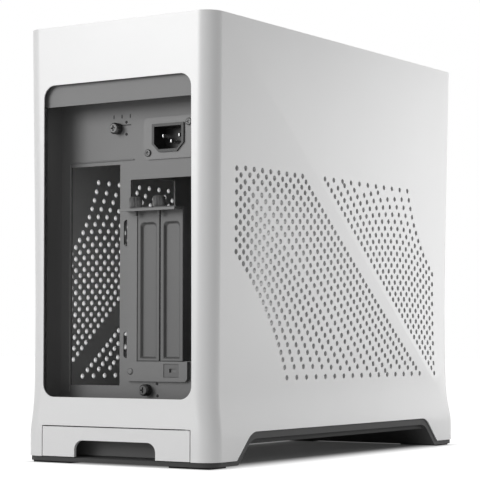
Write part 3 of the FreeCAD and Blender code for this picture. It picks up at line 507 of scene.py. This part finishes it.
def ventCutter():  # one bar through the near side for each hole, and the same turned half round
    bm = bmesh.new()
    reach = shell["across"] + vents["over"]
    for line in rearField() + frontField():
        for spot in lineSpots(*line):
            place = Vector((-reach, shell["along"] - spot.x, shell["top"] - spot.y)) * mm
            turn = Matrix.Translation(place) @ Matrix.Rotation(math.pi / 2, 4, "Y")
            bmesh.ops.create_circle(bm, cap_ends=True, segments=vents["sides"], radius=vents["hole"] * mm,
                                    matrix=turn)
    print("vent holes on each side:", len(bm.faces))
    drawOut(bm, list(bm.faces), (reach / 2, 0, 0))
    copies = bmesh.ops.duplicate(bm, geom=list(bm.faces))
    bmesh.ops.rotate(bm, verts=partsOf(copies, bmesh.types.BMVert), cent=(0, 0, 0),
                     matrix=Matrix.Rotation(math.pi, 3, "Z"))
    bmesh.ops.recalc_face_normals(bm, faces=bm.faces)
    return bm


openings = {
    "windowHalf": 65, "windowLow": 47.2, "windowHigh": 271.6, "windowCorner": 9.5, "windowSteps": 10,
    "windowBack": 165, "lip": 0.8, "lipReach": 4,
    "drawerHalf": 65.1, "drawerHigh": 27, "drawerBack": 170,
    "stripHalf": 42.5, "stripHigh": 20.5, "stripFront": -200,
    "archHigh": 24, "archRear": 152, "archFront": -148, "archBend": 15, "archSteps": 8, "archDip": 15,
    "archReach": 90, "through": 30, "over": 5,  # cutters go through a wall and stand over its edge
}


def windowCutters():  # the rear window, thinned from inside to a fine lip
    half = openings["windowHalf"]
    low = openings["windowLow"]
    high = openings["windowHigh"]
    back = openings["windowBack"]
    window = barCutter(uprightLoop(-half, half, back, low, high), (0, openings["through"], 0), (0, 1, 2, 3),
                       openings["windowCorner"], openings["windowSteps"])
    reach = half + openings["lipReach"]
    bottom = low - openings["lipReach"]
    top = high + openings["lipReach"]
    levels = [bottom] + [level for level, _ in shell["profile"] if bottom < level < top] + [top]
    slope = [(-reach, rearWall(level) - openings["lip"], level) for level in levels]
    rebate = barCutter([(-reach, back, bottom)] + slope + [(-reach, back, top)], (2 * reach, 0, 0))
    return [window, rebate]


def notchCutter(half, place, high):  # a notch in the lower edge of an end wall
    return barCutter(uprightLoop(-half, half, place, -openings["over"], high), (0, openings["through"], 0))


def archCutter():  # the arch through both sides, with legs that slope by 45 degrees
    high = openings["archHigh"]
    run = high - shell["profile"][0][0]
    dip = openings["archDip"]  # below the lower edge, so that the cut goes right through it
    rear = openings["archRear"]
    front = openings["archFront"]
    side = -openings["archReach"]
    outline = [(side, front - dip, high - run - dip), (side, rear + dip, high - run - dip),
               (side, rear - run, high), (side, front + run, high)]
    corner = openings["archBend"] * math.tan(math.radians(45) / 2)
    return barCutter(outline, (-2 * side, 0, 0), (2, 3), corner, openings["archSteps"])


def onCrease(edge):
    for vert in edge.verts:
        x, y, level = vert.co / mm
        if level < shell["creaseLevel"] - shell["creaseSlack"]:
            return False
        if abs(x) < shell["across"] - shell["wall"] - shell["creaseSlack"]:
            return False
        if abs(math.copysign(1, -x) * y - creaseAt(level)) > shell["creaseTouch"]:
            return False
    return True


def buildShell():
    bm = bmesh.new()
    shellSkin(bm)
    bmesh.ops.recalc_face_normals(bm, faces=bm.faces)
    bmesh.ops.solidify(bm, geom=list(bm.faces), thickness=shell["wall"] * mm)
    piece = settle(bm, "shell_skin", "shell_aluminium", "shell", ["outer_shell"])
    drawer = notchCutter(openings["drawerHalf"], openings["drawerBack"], openings["drawerHigh"])
    strip = notchCutter(openings["stripHalf"], openings["stripFront"], openings["stripHigh"])
    cutAway(piece, windowCutters() + [drawer, strip, archCutter(), ventCutter()], "MANIFOLD")
    shade(piece, extra=onCrease)
    print("shell made:", len(piece.data.polygons), "faces")


buildShell()


# Thumbscrews with knurled heads and a cross recess

knob = {"teeth": 26, "groove": 0.9, "crown": 0.8, "crownHeight": 1, "recess": 0.5, "recessWidth": 0.24,
        "recessDepth": 1.5, "shank": 1.5, "shankSides": 20, "shankSink": 1, "sharp": 22}
spineHead = 6
slotHead = 7.5
recessOver = 1  # a recess cutter stands that far over the head


def crossCutters(reach, width, floor, top):  # two bars that cut a cross into the top of a screw
    cutters = []
    for wide, tall in ((reach, width), (width, reach)):
        corners = [(-wide, -tall, floor), (wide, -tall, floor), (wide, tall, floor), (-wide, tall, floor)]
        cutters.append(barCutter(corners, (0, 0, top + recessOver - floor)))
    return cutters


def knurledHead(bm, radius, height):  # a toothed knob that stands on the origin and narrows to its crown
    sides = 2 * knob["teeth"]
    teeth = bmesh.ops.create_circle(bm, cap_ends=True, segments=sides, radius=radius * mm)["verts"]
    bmesh.ops.scale(bm, vec=(knob["groove"], knob["groove"], 1), verts=teeth[::2])
    top = list(bm.faces)
    steps = ((height - knob["crownHeight"], 1, True), (knob["crownHeight"], knob["crown"], False))
    for rise, share, keep in steps:  # the foot keeps its own face
        made = bmesh.ops.extrude_face_region(bm, geom=top, use_keep_orig=keep)
        moved = partsOf(made, bmesh.types.BMVert)
        top = partsOf(made, bmesh.types.BMFace)
        bmesh.ops.translate(bm, verts=moved, vec=(0, 0, rise * mm))
        bmesh.ops.scale(bm, vec=(share, share, 1), verts=moved)


def knurledScrew(name, node, body, axis, height, finish, slot):  # axis 1 points to the rear, 2 upwards
    low, high = nodeBox(node)
    reach = high - low
    radius = reach[(axis + 1) % 3] / 2
    bm = bmesh.new()
    knurledHead(bm, radius, height)
    shank = reach[axis] - height
    sink = knob["shankSink"]  # the shank starts inside the head
    made = bmesh.ops.create_cone(bm, cap_ends=True, segments=knob["shankSides"], radius1=knob["shank"] * mm,
                                 radius2=knob["shank"] * mm, depth=(shank + sink) * mm)["verts"]
    bmesh.ops.translate(bm, verts=made, vec=(0, 0, (sink - shank) / 2 * mm))
    bmesh.ops.recalc_face_normals(bm, faces=bm.faces)
    base = (low + high) / 2
    base[axis] = high[axis] - height
    place = facingRear(base) if axis == 1 else Matrix.Translation(base * mm)
    bmesh.ops.transform(bm, matrix=place, verts=bm.verts)
    piece = settle(bm, name, finish, body, [node])
    cutters = crossCutters(radius * knob["recess"], radius * knob["recessWidth"] / 2,
                           height - knob["recessDepth"], height)
    for cutter in cutters:
        bmesh.ops.transform(cutter, matrix=place, verts=cutter.verts)
    cutAway(piece, cutters)
    shade(piece, knob["sharp"])


screws = {
    "upper_knob": ("spine_thumbscrew_upper", "upper_screw", 1, spineHead, "screw_steel", "screw_steel"),
    "lower_knob": ("spine_thumbscrew_lower", "lower_screw", 1, spineHead, "screw_steel", "screw_steel"),
    "slot_knob_1": ("slot_thumbscrew_1", "slot_screw_1", 2, slotHead, "cover_steel", "frame_steel"),
    "slot_knob_2": ("slot_thumbscrew_2", "slot_screw_2", 2, slotHead, "cover_steel", "frame_steel"),
}
for name, screw in screws.items():
    knurledScrew(name, *screw)
print("thumbscrews made")


# Slot covers with a pressed field

cover = {"spread": 0.5, "face": 1.8, "back": 1.4, "tab": 0.9, "tabSink": 0.1, "edge": 0.4,
         "fieldSide": 2.6, "fieldLow": 1.6, "fieldTop": 10.2, "fieldCorner": 3, "fieldSteps": 6,
         "fieldDepth": 2.3, "fieldSlope": 1.5, "fieldOver": 0.2}


def fieldCutter(left, right, face, bottom, top):  # a pressed field whose walls slope to its floor
    deep = face - cover["fieldDepth"]
    rise = cover["fieldDepth"] + cover["fieldOver"]
    field = barCutter(uprightLoop(left, right, deep, bottom, top), (0, rise, 0), (2, 3), cover["fieldCorner"],
                      cover["fieldSteps"])
    middle = Vector(((left + right) / 2, deep + rise / 2, (bottom + top) / 2)) * mm
    slope = cover["fieldSlope"] * mm
    for vert in field.verts:
        if vert.co.y < middle.y:
            vert.co.x -= math.copysign(slope, vert.co.x - middle.x)
            vert.co.z -= math.copysign(slope, vert.co.z - middle.z)
    return field


def slotCover(node, name):
    low, high = nodeBox(node)
    low.x -= cover["spread"]
    high.x += cover["spread"]
    face = low.y + cover["face"]
    bm = bmesh.new()
    block(bm, (low.x, low.y - cover["back"], low.z), (high.x, face, high.z))
    block(bm, (low.x, face - cover["tabSink"], high.z - cover["tab"]), high)
    piece = settle(bm, name, "cover_steel", "chassis", [node])
    field = fieldCutter(low.x + cover["fieldSide"], high.x - cover["fieldSide"], face,
                        low.z + cover["fieldLow"], high.z - cover["fieldTop"])
    cutAway(piece, [field])
    soften(piece, cover["edge"])


slotCover("slot_cover_1", "cover_1")
slotCover("slot_cover_2", "cover_2")
print("slot covers made")


# Screws and contacts of the mains inlet

panHead = {"radius": 2.7, "sides": 28, "height": 1.6, "crown": 0.72, "crownSteps": 3, "recess": 1.5,
           "recessWidth": 0.7, "recessDepth": 0.9, "sharp": 30}


def inletScrews():
    low, high = nodeBox("inlet_screws")
    radius = panHead["radius"]
    height = panHead["height"]
    bm = bmesh.new()
    cutters = []
    for x, z in ((high.x - radius, low.z + radius), (low.x + radius, high.z - radius)):
        place = facingRear((x, high.y - height, z))
        made = bmesh.ops.create_cone(bm, cap_ends=True, segments=panHead["sides"], radius1=radius * mm,
                                     radius2=radius * mm, depth=height * mm)["verts"]
        bmesh.ops.translate(bm, verts=made, vec=(0, 0, height / 2 * mm))
        upper = [vert for vert in made if vert.co.z > height / 2 * mm]
        crown = [edge for edge in bm.edges if all(vert in upper for vert in edge.verts)]
        rounded = bmesh.ops.bevel(bm, geom=crown, offset=(1 - panHead["crown"]) * radius * mm,
                                  offset_type="OFFSET", segments=panHead["crownSteps"], profile=0.5,
                                  affect="EDGES", material=-1)
        head = list({vert for vert in made if vert.is_valid} | set(rounded["verts"]))
        bmesh.ops.transform(bm, matrix=place, verts=head)
        for cutter in crossCutters(panHead["recess"], panHead["recessWidth"] / 2,
                                   height - panHead["recessDepth"], height):
            bmesh.ops.transform(cutter, matrix=place, verts=cutter.verts)
            cutters.append(cutter)
    bmesh.ops.recalc_face_normals(bm, faces=bm.faces)
    piece = settle(bm, "inlet_screw_heads", "screw_steel", "chassis", ["inlet_screws"])
    cutAway(piece, cutters)
    shade(piece, panHead["sharp"])


contact = {"width": 2, "height": 4, "narrow": 0.62, "tip": 0.45, "tipSteps": 2, "sharp": 30}


def inletContacts():  # three flat blades with chamfered tips
    low, high = nodeBox("inlet_pins")
    middle = (low.x + high.x) / 2
    spread = middle - low.x - contact["width"] / 2
    upper = high.z - contact["height"] / 2
    lower = low.z + contact["height"] / 2
    wide = contact["width"] * contact["narrow"] / 2
    tall = contact["height"] * contact["narrow"] / 2
    bm = bmesh.new()
    for x, z in ((middle - spread, upper), (middle, lower), (middle + spread, upper)):
        block(bm, (x - wide, low.y, z - tall), (x + wide, high.y, z + tall))
    tips = [edge for edge in bm.edges if all(vert.co.y > (high.y - hair) * mm for vert in edge.verts)]
    bmesh.ops.bevel(bm, geom=tips, offset=contact["tip"] * mm, offset_type="OFFSET",
                    segments=contact["tipSteps"], profile=0.5, affect="EDGES", material=-1)
    piece = settle(bm, "inlet_contacts", "bright_metal", "chassis", ["inlet_pins"])
    shade(piece, contact["sharp"])


inletScrews()
inletContacts()
print("inlet details made")


# Beads, marks, a painted groove shade and a rivet on the rear plate

plateFace = 157
beads = {"wide": 0.9, "rise": 0.7, "side": 60.2, "top": 216.6, "low": 50, "end": 2.5, "edge": 0.3,
         "edgeSteps": 2, "rivet": (3.3, 65.6), "rivetRadius": 2.6, "rivetRise": 0.8, "sill": 160}
# the dark strip at "line" stands where a groove is, and is painted shade of that groove; the ticks and
# dimples are marks
marks = {"rise": 0.2, "line": (5.6, 15.3, 242), "grooveShadeWidth": 0.7,
         "ticks": (20.9, 13.7, 6.2), "tickLow": 247.4, "tickWidth": 0.7, "tickHeight": 2.6,
         "dimples": ((9.7, 244.4), (9.6, 235.7), (-18, 56.9), (-18.5, 48.5)), "dimple": 1.1,
         "dimpleRise": 0.6}
studTop = 0.7  # a stud narrows to that share of its radius
studSides = 20


def stud(bm, face, x, z, radius, rise):  # a low round head that narrows to its top
    made = bmesh.ops.create_cone(bm, cap_ends=True, segments=studSides, radius1=radius * mm,
                                 radius2=studTop * radius * mm, depth=rise * mm)["verts"]
    bmesh.ops.transform(bm, matrix=facingRear((x, face + rise / 2, z)), verts=made)


def plateBeads():  # the beads follow the rim of the connector opening
    side = beads["side"]
    outer = side + beads["wide"]
    top = beads["top"]
    front = plateFace + beads["rise"]
    bm = bmesh.new()
    block(bm, (side, plateFace, beads["low"]), (outer, front, top))
    block(bm, (beads["end"], plateFace, top), (outer, front, top + beads["wide"]))
    stud(bm, beads["sill"], *beads["rivet"], beads["rivetRadius"], beads["rivetRise"])
    piece = settle(bm, "plate_beads", "frame_steel", "chassis")
    soften(piece, beads["edge"], beads["edgeSteps"])


def plateMarksAndGrooveShade():  # a dark strip that paints the shade inside the upper screw's groove, then ticks and dimples beside the spine's screws
    front = plateFace + marks["rise"]
    # a thin dark strip over the groove: painted shade
    start, end, level = marks["line"]
    bm = bmesh.new()
    block(bm, (start, plateFace, level), (end, front, level + marks["grooveShadeWidth"]))
    half = marks["tickWidth"] / 2
    low = marks["tickLow"]
    for x in marks["ticks"]:
        block(bm, (x - half, plateFace, low), (x + half, front, low + marks["tickHeight"]))
    for x, z in marks["dimples"]:
        stud(bm, plateFace, x, z, marks["dimple"], marks["dimpleRise"])
    shade(settle(bm, "plate_marks_and_groove_shade", "base_plastic", "chassis"))


plateBeads()
plateMarksAndGrooveShade()
print("plate details made")


# Rails under the base and the lining of the finger room

rails = {"inner": 70, "outer": 79, "top": 19.5, "low": 15.4, "rearEnd": 141.4, "frontEnd": -137.4,
         "edge": 0.8}
lining = {"half": 54.5, "back": 166.4, "face": 167.5, "low": 5.4, "high": 20.2, "edge": 0.3}


def baseRails():  # a rail inside each arch, with ends that lean like the legs, in a darker copy of the base plastic that paints the shade under the arches
    bm = bmesh.new()
    low = rails["low"]
    top = rails["top"]
    rear = rails["rearEnd"]
    front = rails["frontEnd"]
    rise = top - low
    for x in (-rails["outer"], rails["inner"]):
        corners = [(x, front, low), (x, rear, low), (x, rear - rise, top), (x, front + rise, top)]
        face, _ = flatOutline(bm, corners)
        drawOut(bm, [face], (rails["outer"] - rails["inner"], 0, 0))
    bmesh.ops.recalc_face_normals(bm, faces=bm.faces)
    soften(settle(bm, "base_rails", "rail_plastic_painted_shade", "chassis"), rails["edge"])


def fingerLining():  # thin sheet on the wall behind the drawer's finger cut-out
    half = lining["half"]
    bm = bmesh.new()
    block(bm, (-half, lining["back"], lining["low"]), (half, lining["face"], lining["high"]))
    soften(settle(bm, "finger_lining", "tray_plastic", "chassis"), lining["edge"])


baseRails()
fingerLining()
print("base details made")


# Floor, world, light and camera

stage = {"floor": 6, "floorTone": 0.8, "floorDip": 0.99, "floorScale": 3, "floorRough": 0.9,
         "floorGlow": 0.85, "glowStart": -0.028, "glowRun": 0.045, "paintedLightUnderCase": 0.03, "roomTone": 0.3}


def paperFinish():  # pale paper that glows white to camera and glossy rays, fading out over the case's footprint so its real shadow shows there, with a faint painted light kept in that shadow
    sockets = {"Roughness": stage["floorRough"], "Specular IOR Level": 0.0,
               "Emission Strength": stage["floorGlow"]}
    paper = Finish("floor_paper", sockets)
    low = grey(stage["floorTone"] * stage["floorDip"])
    high = grey(stage["floorTone"])
    paper.feed("Base Color", paper.ramp(paper.noise(stage["floorScale"]), low, high))
    across, along = [abs(line) - edge for line, edge in zip(paper.flatSpot(), cadBox[1])]
    start = stage["glowStart"]
    reach = {"Value": across.most(along), "From Min": start, "From Max": start + stage["glowRun"]}
    glow = paper.node("ShaderNodeMapRange", {"interpolation_type": "SMOOTHSTEP"}, reach)
    # the faint glow kept under the case is painted light that lifts the case's shadow
    least = stage["paintedLightUnderCase"]
    paper.feed("Emission Color", paper.whiteRays() * (least + (1 - least) * glow))
    return paper.material


def buildFloor():
    bm = bmesh.new()
    bmesh.ops.create_grid(bm, x_segments=1, y_segments=1, size=stage["floor"])
    mesh = bpy.data.meshes.new("floor")
    bm.to_mesh(mesh)
    bm.free()
    floor = bpy.data.objects.new("floor", mesh)
    bpy.context.scene.collection.objects.link(floor)
    mesh.materials.append(paperFinish())


def buildWorld():
    world = bpy.data.worlds.new("room")
    bpy.context.scene.world = world
    world.use_nodes = True
    room = Nodes(world.node_tree)
    back = room.tree.nodes["Background"]
    back.inputs["Color"].default_value = (1, 1, 1, 1)
    strength = stage["roomTone"] + (1 - stage["roomTone"]) * room.whiteRays()
    room.tree.links.new(strength.socket, back.inputs["Strength"])


lamps = {
    "rear_lamp": {"place": (0.6, 1.35, 0.6), "aim": (0.0, 0.18, 0.2), "size": 0.7, "power": 7.6},
    "side_lamp": {"place": (-0.45, -0.95, 0.25), "aim": (-0.08, -0.1, 0.15), "size": 0.5, "power": 2.2},
}


def standAt(name, data, place, look):  # a lamp or the camera, turned to look that way
    made = bpy.data.objects.new(name, data)
    bpy.context.scene.collection.objects.link(made)
    turn = look.to_track_quat("-Z", "Y")
    made.matrix_world = Matrix.Translation(place) @ turn.to_matrix().to_4x4()
    return made


def buildLamps():
    for name, lamp in lamps.items():
        data = bpy.data.lights.new(name, "AREA")
        data.size = lamp["size"]
        data.energy = lamp["power"]
        place = Vector(lamp["place"])
        standAt(name, data, place, Vector(lamp["aim"]) - place)


view = {"place": (-0.7682, 1.19, 0.088), "look": (0.549, -0.834, 0.0553), "lens": 135.1, "sensor": 36}


def buildCamera():
    data = bpy.data.cameras.new("camera")
    data.lens = view["lens"]
    data.sensor_width = view["sensor"]
    bpy.context.scene.camera = standAt("camera", data, Vector(view["place"]), Vector(view["look"]))


buildFloor()
buildWorld()
buildLamps()
buildCamera()
bpy.context.scene.view_settings.view_transform = "Standard"
print("stage set")
